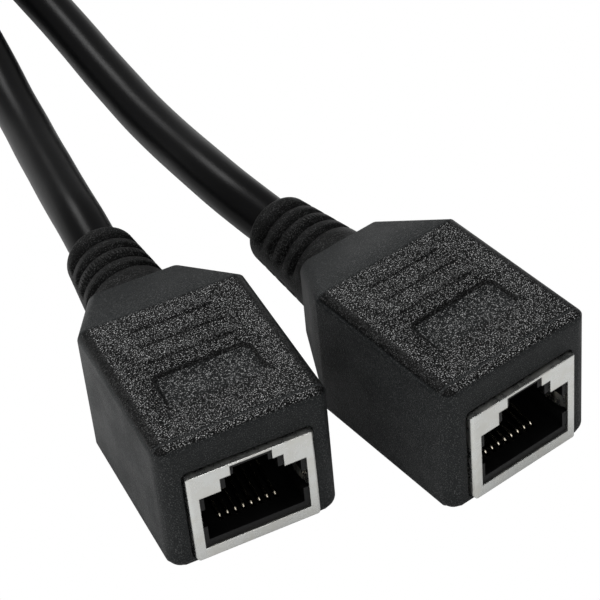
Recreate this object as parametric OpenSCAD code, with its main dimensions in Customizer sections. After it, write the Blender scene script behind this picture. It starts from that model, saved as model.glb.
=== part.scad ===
// Two-way network splitter: two moulded socket heads on short cables that join at one plug.
// Millimetres, +Z up. The sockets face -Y, the cables leave along +Y and the heads stand on z = 0.

/* [Head] */
// Width of a moulded head
head_w = 21.8; // [20.4:0.1:26]
// Height of a moulded head
head_h = 19.6; // [18.6:0.1:24]
// Length of the straight block of a head
block_l = 23.7; // [21:0.1:30]
// Length of the tapered rear of a head
taper_l = 9.1; // [7:0.1:12]
// Width of the rear face of the taper
neck_w = 13; // [12.6:0.1:16]
// Height of the rear face of the taper
neck_h = 12.6; // [12.4:0.1:16]
// Height of the cable's centre line in a head
axis_z = 9.9; // [9:0.1:11]
// Radius of the long edges
edge_r = 1.5; // [0.8:0.1:2]
// Radius of the upright front edges
front_r = 2; // [1:0.1:2.4]
// Radius of the front edge above the socket
lip_r = 0.9; // [0.4:0.1:1.2]
// Radius of the front edge below the socket
sole_r = 1.7; // [0.8:0.1:1.8]

/* [Label recess and ribs] */
// Width of the bare label recess
label_w = 12.3; // [8:0.1:15]
// Length of the label recess
label_l = 5.7; // [4:0.1:7]
// Depth of the label recess
label_d = 0.35; // [0.2:0.05:0.5]
// Distance from the front of the block to the label recess
label_y = 6.4; // [4:0.1:7]
// Radius of the label recess's corners
label_r = 1.2; // [0.5:0.1:1.8]
// Number of grip ribs behind the label recess
rib_n = 3; // [1:1:3]
// Distance between grip ribs
rib_pitch = 2.95; // [2:0.05:3.2]
// Width of a grip rib
rib_w = 0.5; // [0.3:0.05:0.8]
// Height of a grip rib
rib_h = 0.12; // [0.06:0.02:0.3]
// Length of the grip rib beside the label recess
rib_l = 12; // [8:0.1:14]
// How much shorter each further grip rib is
rib_step = 1.3; // [0:0.1:2]

/* [Strain relief] */
// Length of the strain relief behind the taper
relief_l = 14.2; // [13:0.1:18]
// Diameter of the strain relief at the taper
relief_base_d = 12.2; // [11:0.1:12.3]
// Diameter of the strain relief behind its rounded end
relief_end_d = 9.5; // [8.8:0.1:10.6]
// Radius of the strain relief's rounded end
relief_r = 1.3; // [0.6:0.1:1.5]
// Number of flex slots along the strain relief
slot_n = 4; // [2:1:4]
// Distance between flex slots
slot_pitch = 2.4; // [1.8:0.05:2.8]
// Width of a flex slot
slot_w = 1.1; // [0.5:0.05:1.2]
// Wall left between the cable and the bottom of a flex slot
slot_core = 0.5; // [0.4:0.05:0.8]
// Width of the two webs that bridge the flex slots
web_w = 2.4; // [1.5:0.1:3]
// Length of the plain collar between the taper and the first slot
collar_l = 3.2; // [2.8:0.1:4.6]

/* [Socket] */
// Width of the socket's metal shield
jack_w = 16; // [15.6:0.1:16.6]
// Height of the shield
jack_h = 13.3; // [13:0.1:13.8]
// Length of the shield
jack_l = 16; // [15.5:0.1:17]
// Height of the shield above the bottom of the head
jack_z = 1.8; // [1.5:0.1:2.4]
// How far the shield stands out of the head
jack_proud = 0.9; // [0.5:0.1:1.2]
// Width of the shadow gap that the head leaves around the front of the shield
front_gap = 0.25; // [0.15:0.05:0.4]
// Depth of the shadow gap
front_gap_l = 0.4; // [0.3:0.1:0.8]
// Sheet thickness of the shield
sheet_t = 0.3; // [0.2:0.05:0.35]
// Bend radius of the shield's corners
bend_r = 0.5; // [0.4:0.05:0.7]
// Width of the shield's mouth
mouth_w = 13.5; // [13.2:0.1:13.8]
// Height of the shield's mouth below the latch steps
mouth_h = 8.2; // [8:0.1:8.4]
// Height of the sill under the mouth
sill_h = 1.5; // [1.4:0.1:1.6]
// Width of the lower latch step of the mouth
mouth_step_w = 8; // [7.6:0.1:8.6]
// Height of the lower latch step of the mouth
mouth_step_h = 1.9; // [1.6:0.1:2]
// Width of the upper latch notch of the mouth
mouth_notch_w = 5.3; // [5:0.1:6]
// Width of the port in the insulating housing
port_w = 12.2; // [11.9:0.1:12.4]
// Height of the port in the housing
port_h = 7.2; // [7:0.1:7.4]
// Depth of the port behind the shield's front
port_d = 11.4; // [11:0.1:12]
// Thickness of the floor under the port
floor_t = 2.2; // [2:0.1:2.3]
// Width of the port's lower latch step
port_step_w = 6.6; // [6.2:0.1:7]
// Height of the port's lower latch step
port_step_h = 1.7; // [1.5:0.1:1.8]
// Width of the port's upper latch notch
port_notch_w = 4.4; // [4:0.1:4.8]
// Height of the port's upper latch notch
port_notch_h = 1; // [0.6:0.1:1]
// Height of a side spring
spring_h = 2.2; // [1.8:0.1:2.6]
// How far a side spring stands into the mouth
spring_in = 0.4; // [0.3:0.05:0.6]

/* [Contacts] */
// Number of contacts in each socket and in the plug
contact_n = 8; // [8:1:8]
// Distance between contacts
contact_pitch = 1.02; // [1:0.01:1.04]
// Width of a socket contact
contact_w = 0.45; // [0.35:0.05:0.5]
// Thickness of a socket contact
contact_t = 0.3; // [0.25:0.05:0.35]
// Depth of the contact noses behind the shield's front
nose_d = 3.6; // [3.2:0.1:4.4]
// Height of the contacts at the back of the port above its floor
contact_rise = 2.1; // [1.6:0.1:2.4]
// Clearance at the sides of a contact
contact_gap = 0.1; // [0.05:0.05:0.15]
// Length of a contact's solder tail behind the carrier
tail_l = 2; // [1.5:0.1:2.5]

/* [Cable] */
// Outer diameter of a cable
cable_d = 6.6; // [5.6:0.1:6.8]
// Clearance between a cable and the moulding around it
cable_gap = 0.05; // [0.02:0.01:0.1]
// Diameter of an insulated wire
wire_d = 0.86; // [0.7:0.02:0.9]

/* [Plug] */
// Width of the plug
plug_w = 11.68; // [11.4:0.02:11.8]
// Height of the plug without its latch
plug_h = 6.6; // [6.4:0.1:6.7]
// Length of the plug
plug_l = 21.4; // [20.5:0.1:22]
// Length of the plug that the boot holds
plug_held = 8; // [6:0.1:9]
// Thickness of a contact blade in the plug
blade_t = 0.34; // [0.3:0.02:0.4]
// Length of a contact blade
blade_l = 6; // [5:0.1:6.5]
// Width of the latch
latch_w = 3.6; // [3.2:0.1:4]
// Thickness of the latch
latch_t = 0.8; // [0.6:0.05:1]

/* [Boot] */
// Width of the boot at its cable end
boot_w = 24; // [22:0.5:28]
// Height of the boot
boot_h = 12; // [11.5:0.5:13]
// Length of the boot
boot_l = 30; // [28:0.5:36]
// Width of the boot at its plug end
boot_neck_w = 15; // [14.5:0.5:18]
// Wall of the boot around the joint of the wires
boot_wall = 2; // [1.5:0.1:2.5]

/* [Layout] */
// Distance between the centre lines of the two heads at their front
head_pitch = 31.3; // [29:0.1:36]
// How far the right head stands in front of the left head
stagger = 9; // [0:0.5:12]
// Angle by which each head is turned outwards
toe = 6.2; // [0:0.1:7]

/* [Hidden] */

// Faces round a curve, and a hair that keeps cuts from sharing a plane
$fn = 48;
eps = 0.01;
// Head lengths along its own Y, whose zero is the front face of the block
taper_end = block_l + taper_l;
relief_end = taper_end + relief_l;
slot_first = taper_end + collar_l;
slot_floor_d = cable_d + 2 * slot_core;
neck_r = edge_r;
neck_x = neck_w / 2 - neck_r;
neck_z = neck_h / 2 - neck_r;
label_end = label_y + label_l;
// Shield and housing
shield_y = -jack_proud;
shield_end = shield_y + jack_l;
housing_y = shield_y + sheet_t;
housing_w = jack_w - 2 * sheet_t;
housing_h = jack_h - 2 * sheet_t;
port_back = shield_y + port_d;
port_top = floor_t + sheet_t + port_h;
port_floor = floor_t + sheet_t;
mouth_top = sill_h + mouth_h;
spring_z = mouth_top - spring_h - 2.5;
spring_l = 7;
spring_room = 0.3;
// Contact carrier, with its step that keeps the contact tails apart
carrier_w = contact_n * contact_pitch + 3;
carrier_z = sheet_t + 0.8;
carrier_top = port_floor + contact_rise + 1.6;
carrier_end = shield_end + 1.5;
tail_end = carrier_end + tail_l;
contact_z = port_floor + contact_rise;
groove_d = 1;
groove_y = shield_y + nose_d - 1.1;
// Inner moulding over the solder joints
premould_wall = 1.2;
premould_w = 14;
premould_z = jack_z + carrier_z - premould_wall;
premould_h = 12.2;
premould_end = block_l + 1.5;
sleeve_d = cable_d + 3;
sleeve_end = taper_end - 2;
joint_end = premould_end - premould_wall;
// Where the centre of both heads' footprint lies, so that it comes to x = 0 and y = 0
function turn(p, a) = [p[0] * cos(a) - p[1] * sin(a), p[0] * sin(a) + p[1] * cos(a)];
plate_corner = turn([-jack_w / 2 + bend_r, shield_y], toe)[1];
relief_corner = turn([relief_end_d / 2 - relief_r, relief_end], -toe)[1];
centre_y = (plate_corner + relief_corner) / 2;
left_at = [-head_pitch / 2, stagger / 2 - centre_y, 0];
right_at = [head_pitch / 2, -stagger / 2 - centre_y, 0];
// Route of the left cable between its strain relief and the boot
LEFT_ROUTE = [
  [-9.4, 35.7, 9.7], [-8.4, 41.2, 8.9], [-7.3, 46.7, 7.9], [-6, 52.9, 6.8], [-4.7, 59.2, 5.6], [-3.3, 65.7, 4.6],
  [-1.9, 73.2, 3.9], [-0.3, 81.2, 3.6], [1.1, 89.2, 3.6], [2.2, 97.2, 4.2], [2.9, 105.2, 5.2]
];
// Route of the right cable between its strain relief and the boot
RIGHT_ROUTE = [
  [9.9, 26.7, 9.8], [9.8, 32.2, 9.2], [10, 38.2, 8.3], [10.4, 44.2, 7.1], [10.8, 50.7, 6], [11.3, 58.2, 5],
  [11.9, 65.2, 4.3], [12.5, 73.2, 3.8], [13.1, 81.2, 3.6], [13.5, 89.2, 3.6], [13.5, 97.2, 4.1], [13.2, 105.2, 5.2]
];
// Boot and plug, lying on the same surface as the heads
boot_at = [8, 113, 0];
cable_x = 5;
cable_z = boot_h / 2;
entry_l = 7;
boot_joint_l = boot_l - entry_l - plug_held;
plug_z = cable_z - plug_h / 2;
plug_y = boot_l - plug_held;
plug_wall = 1;
bar_h = 2.4;
bar_l = 9;
bar_y = plug_y + plug_l - bar_l - 2;
bar_z = plug_z + 2.4;
channel_w = contact_n * contact_pitch + 1;
blade_h = bar_z - plug_z - 0.3;
blade_y = plug_y + plug_l - blade_l - 1;
cable_stop = entry_l + 1;
// Latch of the plug: its length, its bend, the heights there, and the two catches at its sides
latch_l = 13;
latch_mid = 7;
latch_root = 0.5;
latch_rise = 1.4;
latch_lift = 2.6;
catch_w = 1.14;
catch_l = 2;
catch_h = 0.7;
catch_y = 5.2;
catch_z = 1.1;

// Points of a bent strip of even thickness along a line of [y, z] points
function unit(v) = v / norm(v);
function side(a, b) = unit([a[1] - b[1], b[0] - a[0]]);
function mitre(p, i) =
  i == 0 ? side(p[0], p[1]) :
  i == len(p) - 1 ? side(p[i - 1], p[i]) :
  let (n = unit(side(p[i - 1], p[i]) + side(p[i], p[i + 1]))) n / (n * side(p[i], p[i + 1]));
function strip(p, t) = concat(
  [for (i = [0 : len(p) - 1]) p[i] + mitre(p, i) * t / 2],
  [for (i = [len(p) - 1 : -1 : 0]) p[i] - mitre(p, i) * t / 2]);

// A smooth curve through route points, and the rings of a tube swept along it
function bend(a, b, c, d, t) =
  0.5 * (2 * b + (c - a) * t + (2 * a - 5 * b + 4 * c - d) * t * t + (3 * b - a - 3 * c + d) * t * t * t);
function smooth(p, n) = concat(
  [for (i = [0 : len(p) - 2], k = [0 : n - 1])
    bend(p[max(i - 1, 0)], p[i], p[i + 1], p[min(i + 2, len(p) - 1)], k / n)],
  [p[len(p) - 1]]);
function along(p, i) = unit(p[min(i + 1, len(p) - 1)] - p[max(i - 1, 0)]);
function ring(p, i, r, n) =
  let (u = along(p, i), s = unit(cross(u, [0, 0, 1])), w = cross(s, u))
  [for (k = [0 : n - 1]) p[i] + r * (s * cos(360 * k / n) + w * sin(360 * k / n))];
function tube_faces(m, n) = concat(
  [[for (k = [0 : n - 1]) k]],
  [for (i = [0 : m - 2], k = [0 : n - 1])
    [i * n + k, (i + 1) * n + k, (i + 1) * n + (k + 1) % n, i * n + (k + 1) % n]],
  [[for (k = [n - 1 : -1 : 0]) (m - 1) * n + k]]);
module tube(p, d, n) {
  polyhedron(
    points = [for (i = [0 : len(p) - 1]) each ring(p, i, d / 2, n)],
    faces = tube_faces(len(p), n),
    convexity = 6);
}

// A flat shape with four round corners, from squares and circles
module round_rect(w, h, r) {
  square([w - 2 * r, h], center = true);
  square([w, h - 2 * r], center = true);
  for (x = [-1, 1], y = [-1, 1])
    translate([x * (w / 2 - r), y * (h / 2 - r)]) circle(r = r);
}

// A bar along Y whose section is drawn in X and Z
module bar_y(y0, y1, z) {
  translate([0, y1, z]) rotate([90, 0, 0]) linear_extrude(y1 - y0) children();
}

// A box between two corners
module block(a, b) {
  translate(a) cube(b - a);
}

// Places a part of a head
module at_left() {
  translate(left_at) rotate([0, 0, -toe]) children();
}
module at_right() {
  translate(right_at) rotate([0, 0, toe]) children();
}
module at_boot() {
  translate(boot_at) children();
}

// Straight block of a head, with rounded long edges and a rounded front
module head_block() {
  intersection() {
    bar_y(0, block_l, head_h / 2) round_rect(head_w, head_h, edge_r);
    translate([0, 0, -eps]) linear_extrude(head_h + 2 * eps) front_profile(head_w, front_r, front_r);
    translate([-head_w / 2 - eps, 0, head_h / 2]) rotate([90, 0, 90])
      linear_extrude(head_w + 2 * eps) mirror([1, -1]) front_profile(head_h, sole_r, lip_r);
  }
}

// Outline from the front face back, w wide, with its two front corners rounded by low and high
module front_profile(w, low, high) {
  translate([-w / 2 + low, 0]) square([w - low - high, block_l]);
  translate([-w / 2, low]) square([low + eps, block_l - low]);
  translate([w / 2 - high - eps, high]) square([high + eps, block_l - high]);
  translate([-w / 2 + low, low]) circle(r = low);
  translate([w / 2 - high, high]) circle(r = high);
}

// Tapered rear of a head
module head_taper() {
  hull() {
    for (x = [-1, 1], z = [-1, 1]) {
      translate([x * (head_w / 2 - edge_r), block_l, head_h / 2 + z * (head_h / 2 - edge_r)])
        rotate([90, 0, 0]) cylinder(r = edge_r, h = 0.5, $fn = 32);
      translate([x * neck_x, taper_end, axis_z + z * neck_z])
        rotate([90, 0, 0]) cylinder(r = neck_r, h = 0.5, $fn = 32);
    }
  }
}

// Strain relief, turned about the cable's centre line
module relief() {
  translate([0, 0, axis_z]) rotate([-90, 0, 0]) rotate_extrude() {
    polygon([
      [0, taper_end - 1], [relief_base_d / 2, taper_end - 1], [relief_end_d / 2, relief_end - relief_r],
      [relief_end_d / 2 - relief_r, relief_end], [0, relief_end]
    ]);
    translate([relief_end_d / 2 - relief_r, relief_end - relief_r]) circle(r = relief_r);
  }
}

// One flex slot: a ring groove that two side webs interrupt
module flex_slot(y) {
  difference() {
    translate([0, y, axis_z]) rotate([-90, 0, 0]) difference() {
      cylinder(d = relief_base_d + 2, h = slot_w);
      translate([0, 0, -eps]) cylinder(d = slot_floor_d, h = slot_w + 2 * eps);
    }
    translate([-relief_base_d, y - 1, axis_z - web_w / 2]) cube([2 * relief_base_d, slot_w + 2, web_w]);
  }
}

// Outer shape of the shield, and of the pocket that it fills
module shield_body(l) {
  bar_y(shield_y, shield_y + l, jack_z + jack_h / 2) round_rect(jack_w, jack_h, bend_r);
}

// Outer shape of the inner moulding, and of the pocket that it fills
module premould_body() {
  block([-premould_w / 2, shield_end, premould_z], [premould_w / 2, premould_end, premould_z + premould_h]);
  translate([0, premould_end - eps, axis_z]) rotate([-90, 0, 0])
    cylinder(d = sleeve_d, h = sleeve_end - premould_end + eps);
}

// Moulded cover of a head: block, taper and slotted strain relief
module overmould() {
  difference() {
    union() {
      head_block();
      head_taper();
      relief();
      for (i = [0 : rib_n - 1])
        translate([0, label_end + 2.6 + i * rib_pitch, head_h])
          cube([rib_l - i * rib_step, rib_w, 2 * rib_h], center = true);
    }
    translate([0, label_y + label_l / 2, head_h - label_d])
      linear_extrude(1) round_rect(label_w, label_l, label_r);
    for (i = [0 : slot_n - 1]) flex_slot(slot_first + i * slot_pitch);
    shield_body(jack_l);
    bar_y(-1, front_gap_l, jack_z + jack_h / 2)
      round_rect(jack_w + 2 * front_gap, jack_h + 2 * front_gap, bend_r + front_gap);
    premould_body();
    translate([0, sleeve_end - eps, axis_z]) rotate([-90, 0, 0])
      cylinder(d = cable_d + 2 * cable_gap, h = relief_end - sleeve_end + 1);
  }
}

// Mouth of the shield, seen from the front, with its two latch steps
module mouth() {
  translate([-mouth_w / 2, sill_h]) square([mouth_w, mouth_h]);
  translate([-mouth_step_w / 2, mouth_top - eps]) square([mouth_step_w, mouth_step_h + eps]);
  translate([-mouth_notch_w / 2, mouth_top]) square([mouth_notch_w, jack_h - sheet_t - mouth_top]);
}

// One side spring, folded back from the edge of the mouth
module side_spring() {
  x = mouth_w / 2;
  in = x - spring_in;
  translate([0, 0, jack_z + spring_z]) linear_extrude(spring_h)
    polygon(strip([[x + sheet_t / 2, housing_y - eps], [x + sheet_t / 2, housing_y + 0.2],
      [in + sheet_t / 2, housing_y + 1.6], [in + sheet_t / 2, housing_y + 3],
      [x + sheet_t / 2, housing_y + spring_l - 1], [x + sheet_t / 2, housing_y + spring_l]], sheet_t));
}

// Metal shield: a folded sheet tube with a front plate and two side springs
module shield() {
  intersection() {
    difference() {
      shield_body(jack_l);
      block([-housing_w / 2, housing_y, jack_z + sheet_t],
        [housing_w / 2, shield_end + 1, jack_z + jack_h - sheet_t]);
      bar_y(shield_y - 1, housing_y + 1, jack_z) mouth();
    }
    translate([0, 0, jack_z - 1]) linear_extrude(jack_h + 2) shield_plan();
  }
  side_spring();
  mirror([1, 0, 0]) side_spring();
}

// Plan of the shield with its two front bends
module shield_plan() {
  translate([-jack_w / 2 + bend_r, shield_y]) square([jack_w - 2 * bend_r, bend_r]);
  translate([-jack_w / 2, shield_y + bend_r]) square([jack_w, jack_l - bend_r]);
  for (x = [-1, 1]) translate([x * (jack_w / 2 - bend_r), shield_y + bend_r]) circle(r = bend_r);
}

// Place of contact number i across the socket
function contact_x(i) = (i - (contact_n + 1) / 2) * contact_pitch;

// Insulating housing with the port, its latch steps and the grooves of the contacts
module housing() {
  difference() {
    block([-housing_w / 2, housing_y, jack_z + sheet_t],
      [housing_w / 2, shield_end, jack_z + jack_h - sheet_t]);
    block([-port_w / 2, housing_y - 1, jack_z + port_floor], [port_w / 2, port_back, jack_z + port_top]);
    block([-port_step_w / 2, housing_y - 1, jack_z + port_top - eps],
      [port_step_w / 2, port_back, jack_z + port_top + port_step_h]);
    block([-port_notch_w / 2, housing_y - 1, jack_z + port_top],
      [port_notch_w / 2, port_back - 2, jack_z + port_top + port_step_h + port_notch_h]);
    for (x = [-1, 1])
      translate([x * (mouth_w / 2 - 0.1), housing_y + spring_l / 2 - 0.5, jack_z + spring_z + spring_h / 2])
        cube([1.4, spring_l + 1 + 2 * spring_room, spring_h + 2 * spring_room], center = true);
    for (i = [1 : contact_n])
      translate([contact_x(i) - contact_w / 2 - contact_gap, groove_y, jack_z + port_floor - groove_d])
        cube([contact_w + 2 * contact_gap, port_back - groove_y, groove_d + 1]);
    block([-carrier_w / 2, port_back - eps, jack_z + carrier_z], [carrier_w / 2, shield_end + 1, jack_z + carrier_top]);
  }
}

// Carrier that holds the eight contacts at the back of the port
module carrier() {
  difference() {
    block([-carrier_w / 2, port_back, jack_z + carrier_z], [carrier_w / 2, carrier_end, jack_z + carrier_top]);
    for (i = [1 : contact_n])
      translate([contact_x(i) - contact_w / 2, port_back - 1, jack_z + contact_z - contact_t / 2])
        cube([contact_w, carrier_end - port_back + 2, contact_t]);
  }
}

// One spring contact: solder tail, level run through the carrier, slope and nose
module contact(i) {
  nose_y = shield_y + nose_d;
  nose_z = port_floor + 0.3;
  translate([contact_x(i) - contact_w / 2, 0, jack_z]) rotate([90, 0, 90]) linear_extrude(contact_w)
    polygon(strip([[tail_end, contact_z], [port_back - 0.4, contact_z], [nose_y + 0.5, nose_z],
      [nose_y, nose_z - 0.35], [nose_y + 0.9, nose_z - 0.85]], contact_t));
}

// Inner moulding that covers the solder joints and grips the cable's end
module premould() {
  difference() {
    premould_body();
    block([-premould_w / 2 + premould_wall, shield_end - 1, premould_z + premould_wall],
      [premould_w / 2 - premould_wall, joint_end, premould_z + premould_h - premould_wall]);
    translate([0, joint_end - 1, axis_z]) rotate([-90, 0, 0])
      cylinder(d = cable_d + 2 * cable_gap, h = sleeve_end - joint_end + 2);
  }
}

// Ends of the eight wires in a cable, as two staggered rows
wire_x = 0.62;
wire_row = 0.8;
function wire_side(i) = i % 2 == 0 ? wire_row : -wire_row;

// One wire from its solder tail back to the cable's end
module head_wire(i) {
  z0 = jack_z + contact_z;
  x1 = (i - (contact_n + 1) / 2) * wire_x;
  z1 = axis_z + wire_side(i);
  run = joint_end - tail_end;
  tube(smooth([
    [contact_x(i), tail_end, z0], [contact_x(i), tail_end + 0.2 * run, z0],
    [(contact_x(i) + x1) / 2, tail_end + 0.5 * run, (z0 + z1) / 2],
    [x1, tail_end + 0.8 * run, z1], [x1, joint_end, z1]
  ], 2), wire_d, 8);
}
module head_pair(k) {
  head_wire(2 * k - 1);
  head_wire(2 * k);
}

// One cable, from the joint in its head through the strain relief to the boot
function head_point(at, a, y) = [at[0], at[1], axis_z] + concat(turn([0, y], a), [0]);
function cable_line(at, a, route, x) = concat(
  [head_point(at, a, joint_end), head_point(at, a, sleeve_end), head_point(at, a, relief_end - 4),
    head_point(at, a, relief_end)],
  route, [boot_at + [x, 0, cable_z]],
  [boot_at + [x, 3, cable_z], boot_at + [x, cable_stop, cable_z]]);

module left_cable() {
  color("#141416") tube(cable_line(left_at, -toe, LEFT_ROUTE, -cable_x), cable_d, 12);
}
module right_cable() {
  color("#141416") tube(cable_line(right_at, toe, RIGHT_ROUTE, cable_x), cable_d, 12);
}

// Outline of the boot from above, narrowing from the cables to the plug
module boot_plan() {
  polygon([
    [-boot_w / 2 + 2, 0], [boot_w / 2 - 2, 0], [boot_w / 2, 2], [boot_w / 2, boot_l * 0.45],
    [boot_neck_w / 2, boot_l * 0.8], [boot_neck_w / 2, boot_l], [-boot_neck_w / 2, boot_l],
    [-boot_neck_w / 2, boot_l * 0.8], [-boot_w / 2, boot_l * 0.45], [-boot_w / 2, 2]
  ]);
}

// Moulded boot over the joint of both cables and the back of the plug
module boot() {
  color("#1b1b1d") at_boot() difference() {
    intersection() {
      linear_extrude(boot_h) boot_plan();
      bar_y(0, boot_l, boot_h / 2) round_rect(boot_w, boot_h, 2.5);
    }
    for (x = [-cable_x, cable_x]) translate([x, -1, cable_z]) rotate([-90, 0, 0])
      cylinder(d = cable_d + 2 * cable_gap, h = entry_l + 1 + eps);
    block([-boot_neck_w / 2 + boot_wall - 2.4, entry_l, boot_wall + 0.6],
      [boot_neck_w / 2 - boot_wall + 2.4, entry_l + boot_joint_l * 0.55, boot_h - boot_wall - 0.6]);
    block([-plug_w / 2 + 1, entry_l, plug_z + 1], [plug_w / 2 - 1, boot_l, plug_z + plug_h - 1]);
    block([-plug_w / 2, plug_y, plug_z], [plug_w / 2, boot_l + 1, plug_z + plug_h]);
  }
}

// Clear plug with its wire channel, blade slots and springy latch in one moulding
module plug() {
  color("#cfd6da") at_boot() {
    difference() {
      block([-plug_w / 2, plug_y, plug_z], [plug_w / 2, plug_y + plug_l, plug_z + plug_h]);
      block([-channel_w / 2, plug_y - 1, bar_z], [channel_w / 2, bar_y + bar_l, bar_z + bar_h]);
      for (i = [1 : contact_n])
        translate([contact_x(i) - blade_t / 2, blade_y, plug_z - 1])
          cube([blade_t, plug_l, bar_z - plug_z + 1 + eps]);
    }
    latch();
  }
}

// Latch: a tongue that starts at the plug's front and leans back over it, with its catch step
module latch() {
  top = plug_z + plug_h;
  front = plug_y + plug_l;
  translate([-latch_w / 2, 0, 0]) rotate([90, 0, 90]) linear_extrude(latch_w)
    polygon([
      [front, top - eps], [front - 0.3, top + latch_root], [front - latch_mid, top + latch_rise + latch_t],
      [front - latch_l, top + latch_lift + latch_t], [front - latch_l, top + latch_lift],
      [front - latch_mid, top + latch_rise], [front - 2.4, top + latch_root - 0.1], [front - 2, top - eps]
    ]);
  for (x = [-1, 1])
    translate([x * (latch_w / 2 + catch_w / 2 - 0.02), front - catch_y, top + catch_z])
      cube([catch_w, catch_l, catch_h], center = true);
}

// Bar that keeps the wires in line under the blades
module plug_load_bar() {
  color("#dfe4e6") at_boot()
    block([-channel_w / 2, bar_y, bar_z], [channel_w / 2, bar_y + bar_l, bar_z + bar_h]);
}

// One contact blade in its slot
module plug_blade(i) {
  color("#caa64a") at_boot()
    translate([contact_x(i) - blade_t / 2, blade_y, bar_z - blade_h]) cube([blade_t, blade_l, blade_h]);
}

// One wire from a cable's end to the load bar
module plug_wire(i) {
  s = i <= contact_n / 2 ? -1 : 1;
  j = i <= contact_n / 2 ? i : i - contact_n / 2;
  x0 = s * cable_x + (j - 2.5) * 1.1;
  z0 = cable_z + (j % 2 == 0 ? 0.4 : -0.4);
  z1 = bar_z + bar_h / 2;
  run = bar_y - cable_stop;
  at_boot() tube(smooth([
    [x0, cable_stop, z0], [x0, cable_stop + 0.15 * run, z0],
    [(x0 + contact_x(i)) / 2, cable_stop + 0.3 * run, (z0 + z1) / 2],
    [contact_x(i), cable_stop + 0.45 * run, z1], [contact_x(i), bar_y, z1]
  ], 2), wire_d, 8);
}
module plug_pair(k) {
  color(PAIR[k - 1]) {
    plug_wire(2 * k - 1);
    plug_wire(2 * k);
  }
}
PAIR = ["#c8641e", "#2f8f4e", "#2a57a8", "#6b4128"];

// Nodes of a head
module head_overmould() { color("#1d1d1f") overmould(); }
module head_shield() { color("#b9b9b6") shield(); }
module head_housing() { color("#101012") housing(); }
module head_carrier() { color("#26262a") carrier(); }
module head_premould() { color("#d9d4c4") premould(); }
module head_contact(i) { color("#c9a24a") contact(i); }
module head_pair_coloured(k) { color(PAIR[k - 1]) head_pair(k); }

at_left() head_overmould();  // left_overmould
at_left() head_shield();  // left_shield
at_left() head_housing();  // left_housing
at_left() head_carrier();  // left_carrier
at_left() head_premould();  // left_premould
at_left() head_contact(1);  // left_contact_1
at_left() head_contact(2);  // left_contact_2
at_left() head_contact(3);  // left_contact_3
at_left() head_contact(4);  // left_contact_4
at_left() head_contact(5);  // left_contact_5
at_left() head_contact(6);  // left_contact_6
at_left() head_contact(7);  // left_contact_7
at_left() head_contact(8);  // left_contact_8
at_left() head_pair_coloured(1);  // left_pair_1
at_left() head_pair_coloured(2);  // left_pair_2
at_left() head_pair_coloured(3);  // left_pair_3
at_left() head_pair_coloured(4);  // left_pair_4
at_right() head_overmould();  // right_overmould
at_right() head_shield();  // right_shield
at_right() head_housing();  // right_housing
at_right() head_carrier();  // right_carrier
at_right() head_premould();  // right_premould
at_right() head_contact(1);  // right_contact_1
at_right() head_contact(2);  // right_contact_2
at_right() head_contact(3);  // right_contact_3
at_right() head_contact(4);  // right_contact_4
at_right() head_contact(5);  // right_contact_5
at_right() head_contact(6);  // right_contact_6
at_right() head_contact(7);  // right_contact_7
at_right() head_contact(8);  // right_contact_8
at_right() head_pair_coloured(1);  // right_pair_1
at_right() head_pair_coloured(2);  // right_pair_2
at_right() head_pair_coloured(3);  // right_pair_3
at_right() head_pair_coloured(4);  // right_pair_4
left_cable();
right_cable();
boot();
plug();
plug_load_bar();
plug_blade(1);  // plug_blade_1
plug_blade(2);  // plug_blade_2
plug_blade(3);  // plug_blade_3
plug_blade(4);  // plug_blade_4
plug_blade(5);  // plug_blade_5
plug_blade(6);  // plug_blade_6
plug_blade(7);  // plug_blade_7
plug_blade(8);  // plug_blade_8
plug_pair(1);  // plug_pair_1
plug_pair(2);  // plug_pair_2
plug_pair(3);  // plug_pair_3
plug_pair(4);  // plug_pair_4
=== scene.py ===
import math

import bmesh
import bpy
from mathutils import Matrix, Vector


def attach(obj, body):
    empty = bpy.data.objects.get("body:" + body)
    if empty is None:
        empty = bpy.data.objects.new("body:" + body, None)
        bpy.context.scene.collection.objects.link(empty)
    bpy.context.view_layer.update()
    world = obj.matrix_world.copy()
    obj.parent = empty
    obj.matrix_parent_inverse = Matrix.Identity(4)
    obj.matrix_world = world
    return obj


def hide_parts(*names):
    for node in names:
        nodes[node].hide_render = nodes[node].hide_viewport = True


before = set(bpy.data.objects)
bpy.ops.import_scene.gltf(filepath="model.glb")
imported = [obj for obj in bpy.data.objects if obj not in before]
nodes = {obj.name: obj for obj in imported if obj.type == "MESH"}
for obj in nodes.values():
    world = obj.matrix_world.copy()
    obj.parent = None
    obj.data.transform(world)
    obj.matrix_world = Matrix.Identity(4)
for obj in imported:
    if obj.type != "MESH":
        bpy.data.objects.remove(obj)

# Sizes and places of the model, in metres and degrees
MM = 0.001
HEAD_W = 21.8 * MM
HEAD_H = 19.6 * MM
BLOCK_L = 23.7 * MM
TAPER_END = 32.8 * MM
RELIEF_END = 47 * MM
AXIS_Z = 9.9 * MM
CABLE_D = 6.6 * MM
CORNER_LOW = 1.9 * MM
CORNER_HIGH = 1.5 * MM
LABEL_W = 12.3 * MM
LABEL_L = 5.7 * MM
LABEL_Y = 6.4 * MM
LABEL_R = 1.2 * MM
RIB_Y = LABEL_Y + LABEL_L + 2.6 * MM
RIB_PITCH = 2.95 * MM
RIB_W = 0.5 * MM
CONTACT_PITCH = 1.02 * MM
CONTACT_D = 0.3 * MM
LEFT_AT = Vector((-15.65, -17.824, 0)) * MM
RIGHT_AT = Vector((15.65, -26.824, 0)) * MM
TOE = 6.2
BOOT_AT = Vector((8, 113, 0)) * MM
CABLE_X = 5 * MM
BOOT_H = 12 * MM
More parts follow.
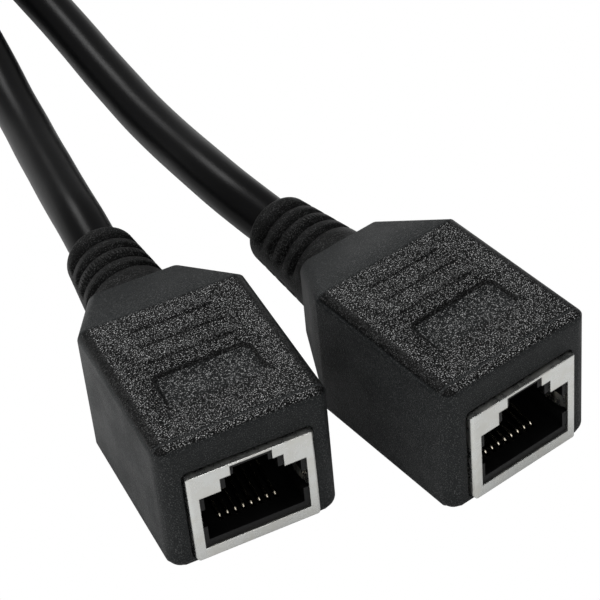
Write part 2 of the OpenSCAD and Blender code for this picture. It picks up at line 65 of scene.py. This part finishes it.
LEFT_ROUTE = [
    (-9.4, 35.7, 9.7), (-8.4, 41.2, 8.9), (-7.3, 46.7, 7.9), (-6, 52.9, 6.8), (-4.7, 59.2, 5.6),
    (-3.3, 65.7, 4.6), (-1.9, 73.2, 3.9), (-0.3, 81.2, 3.6), (1.1, 89.2, 3.6), (2.2, 97.2, 4.2), (2.9, 105.2, 5.2),
]
RIGHT_ROUTE = [
    (9.9, 26.7, 9.8), (9.8, 32.2, 9.2), (10, 38.2, 8.3), (10.4, 44.2, 7.1), (10.8, 50.7, 6),
    (11.3, 58.2, 5), (11.9, 65.2, 4.3), (12.5, 73.2, 3.8), (13.1, 81.2, 3.6), (13.5, 89.2, 3.6),
    (13.5, 97.2, 4.1), (13.2, 105.2, 5.2),
]

# Camera of the photograph
CAMERA_AT = Vector((-96.7, -186.3, 201.1)) * MM
CAMERA_AZIMUTH = 28.04
CAMERA_ELEVATION = 41.31
CAMERA_ROLL = 5.74
LENS = 139.8

scene = bpy.context.scene
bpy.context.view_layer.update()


def make_camera():
    """A camera at the photograph's place, with its small roll."""
    az, el, roll = (math.radians(a) for a in (CAMERA_AZIMUTH, CAMERA_ELEVATION, CAMERA_ROLL))
    ahead = Vector((math.sin(az) * math.cos(el), math.cos(az) * math.cos(el), -math.sin(el)))
    flat = Vector((math.cos(az), -math.sin(az), 0))
    down = ahead.cross(flat)
    right = math.cos(roll) * flat + math.sin(roll) * down
    down = -math.sin(roll) * flat + math.cos(roll) * down
    data = bpy.data.cameras.new("camera")
    data.sensor_width = 36
    data.lens = LENS
    data.clip_start = 0.01
    data.clip_end = 10
    camera = bpy.data.objects.new("camera", data)
    turned = Matrix((right, -down, -ahead)).transposed().to_4x4()
    camera.matrix_world = Matrix.Translation(CAMERA_AT) @ turned
    scene.collection.objects.link(camera)
    scene.camera = camera


make_camera()


# Cables
def head_point(at, toe, y):
    """A point on a head's centre line, y behind its front face."""
    a = math.radians(toe)
    return at + Vector((-y * math.sin(a), y * math.cos(a), AXIS_Z))


def smooth(points, steps):
    """Points on one smooth curve through the given ones."""
    out = []
    last = len(points) - 1
    for i in range(last):
        a, b, c, d = (points[j] for j in (max(i - 1, 0), i, i + 1, min(i + 2, last)))
        for k in range(steps):
            t = k / steps
            out.append(0.5 * (2 * b + (c - a) * t + (2 * a - 5 * b + 4 * c - d) * t ** 2
                              + (3 * b - a - 3 * c + d) * t ** 3))
    out.append(points[last])
    return out


def make_cable(name, at, toe, route, x):
    """One round cable as a curve from inside its strain relief to inside the boot."""
    points = [head_point(at, toe, y) for y in (RELIEF_END - 3 * MM, RELIEF_END)]
    points += [Vector(p) * MM for p in route]
    points += [BOOT_AT + Vector((x, y, BOOT_H / 2)) for y in (0, 4 * MM)]
    line = smooth(points, 3)
    curve = bpy.data.curves.new(name, "CURVE")
    curve.dimensions = "3D"
    curve.bevel_depth = CABLE_D / 2
    curve.bevel_resolution = 10
    curve.use_fill_caps = True
    spline = curve.splines.new("POLY")
    spline.points.add(len(line) - 1)
    for point, place in zip(spline.points, line):
        point.co = (*place, 1)
    spline.use_smooth = True
    cable = bpy.data.objects.new(name, curve)
    scene.collection.objects.link(cable)
    length = sum((b - a).length for a, b in zip(line, line[1:]))
    return cable, line[0], length


left_cable, left_exit, left_length = make_cable("cable_left", LEFT_AT, -TOE, LEFT_ROUTE, -CABLE_X)
right_cable, right_exit, right_length = make_cable("cable_right", RIGHT_AT, TOE, RIGHT_ROUTE, CABLE_X)


# Contacts
CONTACT_LINE = [
    (18.6, 6.4), (14, 6.4), (10.1, 6.4), (6.1, 5.42), (2.8, 4.68), (2.3, 4.5), (2.15, 4.25), (2.4, 3.98), (3, 3.75),
]


def make_contacts(side, at, toe):
    """Eight round spring wires in a socket."""
    made = []
    turn = Matrix.Rotation(math.radians(toe), 3, "Z")
    for i in range(8):
        x = (i - 3.5) * CONTACT_PITCH
        line = smooth([at + turn @ (Vector((0, y, z)) * MM + Vector((x, 0, 0))) for y, z in CONTACT_LINE], 4)
        name = f"{side}_contact_{i + 1}"
        curve = bpy.data.curves.new(name + "_wire", "CURVE")
        curve.dimensions = "3D"
        curve.bevel_depth = CONTACT_D / 2
        curve.bevel_resolution = 3
        curve.use_fill_caps = True
        spline = curve.splines.new("POLY")
        spline.points.add(len(line) - 1)
        for point, place in zip(spline.points, line):
            point.co = (*place, 1)
        spline.use_smooth = True
        path = bpy.data.objects.new(name + "_path", curve)
        scene.collection.objects.link(path)
        solid = path.evaluated_get(bpy.context.evaluated_depsgraph_get())
        wire = bpy.data.objects.new(name + "_wire", bpy.data.meshes.new_from_object(solid))
        bpy.data.objects.remove(path)
        scene.collection.objects.link(wire)
        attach(wire, "root")
        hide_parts(name)
        made.append(wire)
    return made


contacts = make_contacts("left", LEFT_AT, -TOE) + make_contacts("right", RIGHT_AT, TOE)


# Covers
def make_cover(side, at, toe):
    """A copy of the CAD cover with ball-shaped front corners, where the solid's roundings meet in a mitre."""
    node = f"{side}_overmould"
    mesh = nodes[node].data.copy()
    place = Matrix.Translation(at) @ Matrix.Rotation(math.radians(toe), 4, "Z")
    bm = bmesh.new()
    bm.from_mesh(mesh)
    bm.transform(place.inverted())
    bmesh.ops.remove_doubles(bm, verts=bm.verts[:], dist=0.0005 * MM)

    def cut(faces, where, normal):
        geom = list({v for f in faces for v in f.verts}) + list({e for f in faces for e in f.edges}) + faces
        bmesh.ops.bisect_plane(bm, geom=geom, dist=1e-6, plane_co=where, plane_no=normal)

    steps = [k / 6 for k in range(1, 7)]
    for k in steps:
        cut(bm.faces[:], (0, k * CORNER_LOW, 0), (0, 1, 0))
    for k in steps:
        for where, normal in (
            ((HEAD_W / 2 - k * CORNER_LOW, 0, 0), (1, 0, 0)), ((k * CORNER_LOW - HEAD_W / 2, 0, 0), (1, 0, 0)),
            ((0, 0, k * CORNER_LOW), (0, 0, 1)), ((0, 0, HEAD_H - k * CORNER_HIGH), (0, 0, 1)),
        ):
            near = [f for f in bm.faces if max(v.co.y for v in f.verts) < CORNER_LOW + 0.01 * MM]
            cut(near, where, normal)
    for v in bm.verts:
        x, y, z = v.co
        for r, past_z, sign in ((CORNER_LOW, CORNER_LOW - z, -1), (CORNER_HIGH, z - HEAD_H + CORNER_HIGH, 1)):
            past = Vector((abs(x) - HEAD_W / 2 + r, r - y, past_z))
            if min(past) > 0 and past.length > r:
                past *= r / past.length
                v.co = (math.copysign(HEAD_W / 2 - r + past.x, x), r - past.y, v.co.z + sign * (past.z - past_z))
    bm.transform(place)
    bm.to_mesh(mesh)
    bm.free()
    mesh.shade_smooth()
    mesh.set_sharp_from_angle(angle=math.radians(32))
    cover = bpy.data.objects.new(f"{side}_cover", mesh)
    scene.collection.objects.link(cover)
    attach(cover, "root")
    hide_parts(node)
    return cover


left_cover = make_cover("left", LEFT_AT, -TOE)
right_cover = make_cover("right", RIGHT_AT, TOE)


# Material building
class Shader:
    """A material with its node tree and short calls for the nodes that this scene uses."""

    def __init__(self, name):
        self.material = bpy.data.materials.new(name)
        self.material.use_nodes = True
        self.tree = self.material.node_tree
        self.surface = self.tree.nodes["Principled BSDF"]
        self.place = self.node("ShaderNodeTexCoord").outputs["Object"]

    def node(self, kind, **settings):
        made = self.tree.nodes.new(kind)
        for key, value in settings.items():
            setattr(made, key, value)
        return made

    def link(self, source, socket):
        self.tree.links.new(source, socket)

    def feed(self, socket, value):
        if isinstance(value, bpy.types.NodeSocket):
            self.link(value, socket)
        else:
            socket.default_value = value

    def set(self, **values):
        names = {"color": "Base Color", "rough": "Roughness", "metal": "Metallic", "ior": "IOR",
                 "clear": "Transmission Weight", "coat": "Coat Weight", "coat_rough": "Coat Roughness",
                 "normal": "Normal", "specular": "Specular IOR Level"}
        for key, value in values.items():
            if key == "color" and not isinstance(value, bpy.types.NodeSocket):
                value = (*value, 1)
            self.feed(self.surface.inputs[names[key]], value)

    def moved(self, at, toe):
        """Coordinates in a head's own frame."""
        turn = Matrix.Rotation(-math.radians(toe), 3, "Z")
        mapping = self.node("ShaderNodeMapping")
        self.link(self.place, mapping.inputs["Vector"])
        mapping.inputs["Location"].default_value = -(turn @ at)
        mapping.inputs["Rotation"].default_value = (0, 0, -math.radians(toe))
        return mapping.outputs["Vector"]

    def stretched(self, vector, scale):
        mapping = self.node("ShaderNodeMapping")
        self.link(vector, mapping.inputs["Vector"])
        mapping.inputs["Scale"].default_value = scale
        return mapping.outputs["Vector"]

    def noise(self, vector, size, detail=2.0, rough=0.5):
        """Noise from 0 to 1 with features about size metres across."""
        made = self.node("ShaderNodeTexNoise")
        self.link(vector, made.inputs["Vector"])
        made.inputs["Scale"].default_value = 1 / size
        made.inputs["Detail"].default_value = detail
        made.inputs["Roughness"].default_value = rough
        return made.outputs["Fac"]

    def cells(self, vector, size, feature="F1"):
        made = self.node("ShaderNodeTexVoronoi", feature=feature)
        self.link(vector, made.inputs["Vector"])
        made.inputs["Scale"].default_value = 1 / size
        return made.outputs["Distance"]

    def math(self, kind, a, b=0.0):
        made = self.node("ShaderNodeMath", operation=kind)
        self.feed(made.inputs[0], a)
        self.feed(made.inputs[1], b)
        return made.outputs[0]

    def ramp(self, value, low, high, out_low=0.0, out_high=1.0):
        """Maps low..high smoothly to out_low..out_high."""
        made = self.node("ShaderNodeMapRange", interpolation_type="SMOOTHSTEP")
        self.feed(made.inputs["Value"], value)
        for key, number in (("From Min", low), ("From Max", high), ("To Min", out_low), ("To Max", out_high)):
            self.feed(made.inputs[key], number)
        return made.outputs["Result"]

    def split(self, vector):
        made = self.node("ShaderNodeSeparateXYZ")
        self.link(vector, made.inputs["Vector"])
        return made.outputs

    def blend(self, amount, a, b):
        """Mixes two colours."""
        made = self.node("ShaderNodeMix", data_type="RGBA")
        self.feed(made.inputs["Factor"], amount)
        for socket, color in ((made.inputs[6], a), (made.inputs[7], b)):
            self.feed(socket, color if isinstance(color, bpy.types.NodeSocket) else (*color, 1))
        return made.outputs[2]

    def bump(self, height, depth, strength=1.0, soft=None):
        """A normal from a height of 0 to 1 that stands for depth metres, over edges rounded by soft metres."""
        made = self.node("ShaderNodeBump")
        made.inputs["Distance"].default_value = depth
        self.feed(made.inputs["Strength"], strength)
        self.feed(made.inputs["Height"], height)
        if soft is not None:
            edge = self.node("ShaderNodeBevel", samples=6)
            self.feed(edge.inputs["Radius"], soft)
            self.link(edge.outputs["Normal"], made.inputs["Normal"])
        return made.outputs["Normal"]


def plastic(name, color, rough, grain, depth, soft=0.1 * MM, spread=0.06):
    """Moulded plastic with a fine grain and slightly uneven gloss."""
    s = Shader(name)
    fine = s.noise(s.place, grain, 3)
    broad = s.noise(s.place, 4 * MM, 2)
    dark = tuple(c * 0.8 for c in color)
    s.set(color=s.blend(s.ramp(broad, 0.3, 0.7), dark, color),
          rough=s.ramp(broad, 0.3, 0.7, rough - spread, rough + spread),
          normal=s.bump(fine, depth, soft=soft))
    return s


def sheet_metal(name, color, rough, grain_along, depth, soft):
    """Plated sheet with faint drawing lines and soft smears in its gloss."""
    s = Shader(name)
    lines = s.noise(s.stretched(s.place, grain_along), 0.25 * MM, 3)
    smear = s.noise(s.place, 2.5 * MM, 3, 0.6)
    warm = tuple(c * k for c, k in zip(color, (0.95, 0.93, 0.9)))
    s.set(metal=1.0, color=s.blend(s.ramp(smear, 0.35, 0.7), color, warm),
          rough=s.ramp(smear, 0.3, 0.7, rough - 0.05, rough + 0.09),
          normal=s.bump(lines, depth, soft=soft))
    return s


# Black moulded cover, coarse on top and finer elsewhere, with painted glints, painted shade lines and a painted lighter
# base on the sides
def cover_skin(name, at, toe):
    s = Shader(name)
    own = s.moved(at, toe)
    x, y, z = s.split(own)[0:3]
    on_top = s.ramp(z, HEAD_H - 0.75 * MM, HEAD_H - 0.45 * MM)
    # The crease behind the front lip: a real groove in the bump, and a painted shade line where the top's painted
    # glints stop
    crease = s.ramp(s.math("ABSOLUTE", s.math("SUBTRACT", y, 1.5 * MM)), 0.05 * MM, 0.28 * MM)
    behind_lip = s.math("MULTIPLY", s.ramp(y, 0.1 * MM, 0.35 * MM), crease)
    before_taper = s.ramp(y, BLOCK_L - 0.5 * MM, BLOCK_L - 0.1 * MM, 1, 0)
    top = s.math("MULTIPLY", s.math("MULTIPLY", on_top, behind_lip), before_taper)
    taper = s.math("MULTIPLY", s.math("SUBTRACT", 1, before_taper),
                   s.ramp(y, TAPER_END + 0.2 * MM, TAPER_END + 1 * MM, 1, 0))
    coarse = s.noise(own, 0.34 * MM, 2, 0.7)
    pits = s.cells(own, 0.42 * MM)
    fine = s.noise(own, 0.2 * MM, 3, 0.6)
    rough_height = s.math("ADD", s.math("MULTIPLY", coarse, 0.8), s.math("MULTIPLY", pits, 0.3))
    fine_height = s.math("MULTIPLY", fine, s.ramp(taper, 0, 1, 0.45, 0.35))
    height = s.node("ShaderNodeMix", data_type="FLOAT")
    s.feed(height.inputs["Factor"], top)
    s.feed(height.inputs[2], fine_height)
    s.feed(height.inputs[3], s.math("ADD", rough_height, s.math("MULTIPLY", crease, 0.4)))
    broad = s.noise(own, 5 * MM, 2)
    relief = s.ramp(y, TAPER_END + 0.2 * MM, TAPER_END + 0.6 * MM)
    # Painted highlights: noise for the bright glints painted into the colour
    glint_noise = s.noise(own, 0.135 * MM, 1, 0.5)
    # Painted shade: a dark line along the rear and side walls of the label recess, kept free of the painted glints
    side_x = s.math("SUBTRACT", s.math("ABSOLUTE", x), LABEL_W / 2 - LABEL_R)
    side_y = s.math("SUBTRACT", s.math("ABSOLUTE", s.math("SUBTRACT", y, LABEL_Y + LABEL_L / 2)), LABEL_L / 2 - LABEL_R)
    corner_x = s.math("POWER", s.math("MAXIMUM", side_x, 0), 2)
    corner_y = s.math("POWER", s.math("MAXIMUM", side_y, 0), 2)
    past_wall = s.math("SUBTRACT", s.math("SQRT", s.math("ADD", corner_x, corner_y)), LABEL_R)
    from_wall = s.math("ABSOLUTE", past_wall)
    in_label = s.ramp(past_wall, -0.3 * MM, -0.1 * MM, 1, 0)
    off_wall = s.math("MAXIMUM", s.ramp(from_wall, 0.15 * MM, 0.35 * MM), s.ramp(y, LABEL_Y + 0.3 * MM, LABEL_Y + 0.8 * MM, 1, 0))
    # Painted shade: a dark band along both long top edges, kept free of the painted glints
    off_edge = s.ramp(s.math("ABSOLUTE", x), HEAD_W / 2 - 1.7 * MM, HEAD_W / 2 - 1.1 * MM, 1, 0)
    # Painted shade: a thin dark line at the front edge of each rib, kept free of the painted glints
    from_rib = s.math("PINGPONG", s.math("SUBTRACT", y, RIB_Y - RIB_W / 2 - 0.1 * MM), RIB_PITCH / 2)
    beside_ribs = s.ramp(s.math("ABSOLUTE", x), 5.3 * MM, 5.8 * MM)
    past_ribs = s.ramp(s.math("ABSOLUTE", s.math("SUBTRACT", y, RIB_Y + RIB_PITCH)), 3.5 * MM, 3.7 * MM)
    off_rib = s.math("MAXIMUM", s.ramp(from_rib, 0.04 * MM, 0.17 * MM), s.math("MAXIMUM", beside_ribs, past_ribs))
    # Where the top gets painted glints, fewer inside the label recess
    glint_area = s.math("MULTIPLY", s.math("MULTIPLY", top, off_wall), s.math("MULTIPLY", off_edge, off_rib))
    glint_area = s.math("MULTIPLY", glint_area, s.ramp(in_label, 0, 1, 1, 0.75))
    # Painted shade: the top takes the darker base colour, only half as much inside the label recess
    painted_dark_top = s.math("MULTIPLY", top, s.ramp(in_label, 0, 1, 1, 0.5))
    glints = s.math("MULTIPLY", s.ramp(glint_noise, 0.605, 0.655), glint_area)
    # Painted highlights: faint glints over the rest of the cover, a little fainter on the strain relief
    faint_glints = s.math("MULTIPLY", s.ramp(glint_noise, 0.57, 0.68), s.ramp(relief, 0, 1, 0.15, 0.12))
    # Painted light and shade: a lighter base colour on the sides, a darker one on the top and the strain relief
    plain = s.blend(s.math("MAXIMUM", painted_dark_top, relief), (0.014, 0.0155, 0.016), (0.0006, 0.0007, 0.0007))
    # Painted highlights: the glint grey is mixed into the base colour
    gray = s.blend(s.math("MAXIMUM", glints, faint_glints), plain, (0.45, 0.455, 0.455))
    by_side = s.ramp(s.math("ABSOLUTE", x), HEAD_W / 2 - 1.3 * MM, HEAD_W / 2 - 1 * MM)
    by_top = s.ramp(z, HEAD_H - 1.3 * MM, HEAD_H - 1 * MM)
    by_front = s.ramp(y, 1 * MM, 1.2 * MM, 1, 0)
    by_edge = s.math("MAXIMUM", s.math("MULTIPLY", by_side, s.math("MAXIMUM", by_top, by_front)),
                     s.math("MULTIPLY", by_top, by_front))
    s.set(color=gray, rough=s.math("ADD", s.ramp(top, 0, 1, 0.5, 0.4), s.ramp(broad, 0.3, 0.7, -0.04, 0.05)),
          normal=s.bump(height.outputs[0], 0.22 * MM, soft=s.ramp(by_edge, 0, 1, 0.15 * MM, 0.9 * MM)), specular=0.1)
    return s.material


def paint(material, *names):
    """Gives CAD nodes one material."""
    for name in names:
        mesh = nodes[name].data
        mesh.materials.clear()
        mesh.materials.append(material)


for piece, skin in (
    (left_cover, cover_skin("cover_left", LEFT_AT, -TOE)), (right_cover, cover_skin("cover_right", RIGHT_AT, TOE)),
):
    piece.data.materials.clear()
    piece.data.materials.append(skin)
shield = sheet_metal("shield_nickel", (0.7, 0.71, 0.69), 0.26, (1, 0.15, 1), 0.008 * MM, 0.18 * MM)
paint(shield.material, "left_shield", "right_shield")
housing = plastic("housing_black", (0.004, 0.004, 0.0042), 0.36, 0.25 * MM, 0.012 * MM)
housing.set(specular=0.2)
paint(housing.material, "left_housing", "right_housing")
carrier = plastic("carrier_black", (0.02, 0.02, 0.022), 0.4, 0.25 * MM, 0.015 * MM)
paint(carrier.material, "left_carrier", "right_carrier")
inner = plastic("inner_moulding", (0.72, 0.69, 0.6), 0.45, 0.6 * MM, 0.03 * MM)
paint(inner.material, "left_premould", "right_premould")
gold = sheet_metal("contact_gold", (0.86, 0.79, 0.66), 0.16, (1, 0.2, 1), 0.004 * MM, 0.12 * MM)
paint(gold.material, *(f"plug_blade_{i}" for i in range(1, 9)))
for contact in contacts:
    contact.data.materials.append(gold.material)
WIRES = ((0.75, 0.3, 0.05), (0.05, 0.36, 0.12), (0.03, 0.12, 0.45), (0.2, 0.09, 0.04))
for i, color in enumerate(WIRES, 1):
    wire = plastic(f"wire_{i}", color, 0.3, 0.5 * MM, 0.01 * MM, soft=None)
    paint(wire.material, f"left_pair_{i}", f"right_pair_{i}", f"plug_pair_{i}")
boot = plastic("boot_black", (0.0065, 0.007, 0.0072), 0.48, 0.25 * MM, 0.05 * MM, soft=0.35 * MM)
boot.set(specular=0.15)
paint(boot.material, "boot")


def clear_plastic(name):
    """Clear polycarbonate with faint flow marks."""
    s = Shader(name)
    flow = s.noise(s.stretched(s.place, (1, 0.3, 1)), 1.5 * MM, 2)
    s.set(color=(0.9, 0.94, 0.95), rough=s.ramp(flow, 0.3, 0.7, 0.05, 0.12), clear=1.0, ior=1.585,
          normal=s.bump(flow, 0.02 * MM))
    return s


clear = clear_plastic("plug_clear")
paint(clear.material, "plug", "plug_load_bar")


def jacket():
    """Smooth glossy cable jacket, slightly wavy where the twisted pairs press through."""
    s = Shader("jacket_black")
    lay = s.noise(s.stretched(s.place, (1, 0.35, 1)), 5 * MM, 1)
    fine = s.noise(s.place, 0.5 * MM, 3)
    height = s.math("ADD", s.math("MULTIPLY", lay, 0.99), s.math("MULTIPLY", fine, 0.01))
    s.set(color=(0.002, 0.002, 0.0022), rough=s.ramp(fine, 0.3, 0.7, 0.3, 0.33),
          normal=s.bump(height, 0.04 * MM), specular=0.08)
    return s.material


black_jacket = jacket()
PLUG_PIECES = ["boot", "plug", "plug_load_bar"]
PLUG_PIECES += [f"plug_blade_{i}" for i in range(1, 9)] + [f"plug_pair_{i}" for i in range(1, 5)]
for cable, node in ((left_cable, "left_cable"), (right_cable, "right_cable")):
    cable.data.materials.append(black_jacket)
    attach(cable, "root")
    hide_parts(node)


# Floor, backdrop and light
def flat_sheet(name, centre, size):
    mesh = bpy.data.meshes.new(name)
    x, y = size[0] / 2, size[1] / 2
    mesh.from_pydata([(-x, -y, 0), (x, -y, 0), (x, y, 0), (-x, y, 0)], [], [(0, 1, 2, 3)])
    sheet = bpy.data.objects.new(name, mesh)
    sheet.location = centre
    scene.collection.objects.link(sheet)
    return sheet


def white_floor():
    """Pale floor that the camera sees as plain white, and that lights the object from below."""
    floor = flat_sheet("floor", (0, 0, -0.02 * MM), (3, 3))
    s = Shader("floor_white")
    s.set(color=(0.8, 0.8, 0.8), rough=0.6)
    seen = s.node("ShaderNodeLightPath").outputs["Is Camera Ray"]
    glow = s.node("ShaderNodeEmission")
    glow.inputs["Strength"].default_value = 1.0
    mix = s.node("ShaderNodeMixShader")
    s.link(seen, mix.inputs[0])
    s.link(s.surface.outputs[0], mix.inputs[1])
    s.link(glow.outputs[0], mix.inputs[2])
    s.link(mix.outputs[0], s.tree.nodes["Material Output"].inputs["Surface"])
    floor.data.materials.append(s.material)


def area_light(name, at, to, size, power):
    data = bpy.data.lights.new(name, "AREA")
    data.shape = "RECTANGLE"
    data.size, data.size_y = size
    data.energy = power
    lamp = bpy.data.objects.new(name, data)
    lamp.location = at
    lamp.rotation_euler = (Vector(to) - Vector(at)).to_track_quat("-Z", "Y").to_euler()
    scene.collection.objects.link(lamp)


def sky():
    """White for the camera, softer for the light that falls on the object."""
    world = bpy.data.worlds.new("sky")
    world.use_nodes = True
    scene.world = world
    tree = world.node_tree
    path = tree.nodes.new("ShaderNodeLightPath")
    soft = tree.nodes["Background"]
    soft.inputs["Color"].default_value = (1, 1, 1, 1)
    soft.inputs["Strength"].default_value = 0.3
    white = tree.nodes.new("ShaderNodeBackground")
    white.inputs["Color"].default_value = (1, 1, 1, 1)
    white.inputs["Strength"].default_value = 1.0
    mix = tree.nodes.new("ShaderNodeMixShader")
    tree.links.new(path.outputs["Is Camera Ray"], mix.inputs[0])
    tree.links.new(soft.outputs[0], mix.inputs[1])
    tree.links.new(white.outputs[0], mix.inputs[2])
    tree.links.new(mix.outputs[0], tree.nodes["World Output"].inputs["Surface"])


white_floor()
sky()
area_light("back_light", (0.02, 0.75, 0.5), (0, 0.03, 0.01), (0.2, 0.25), 1.4)
area_light("left_light", (-0.45, 0.1, 0.5), (0, 0, 0.01), (0.3, 0.4), 1.5)
area_light("top_light", (0.1, 0.05, 0.7), (0, 0, 0), (0.4, 0.4), 2)
area_light("front_light", (-0.1, -0.6, 0.35), (0, 0, 0.01), (0.4, 0.3), 0.8)
scene.view_settings.view_transform = "Standard"
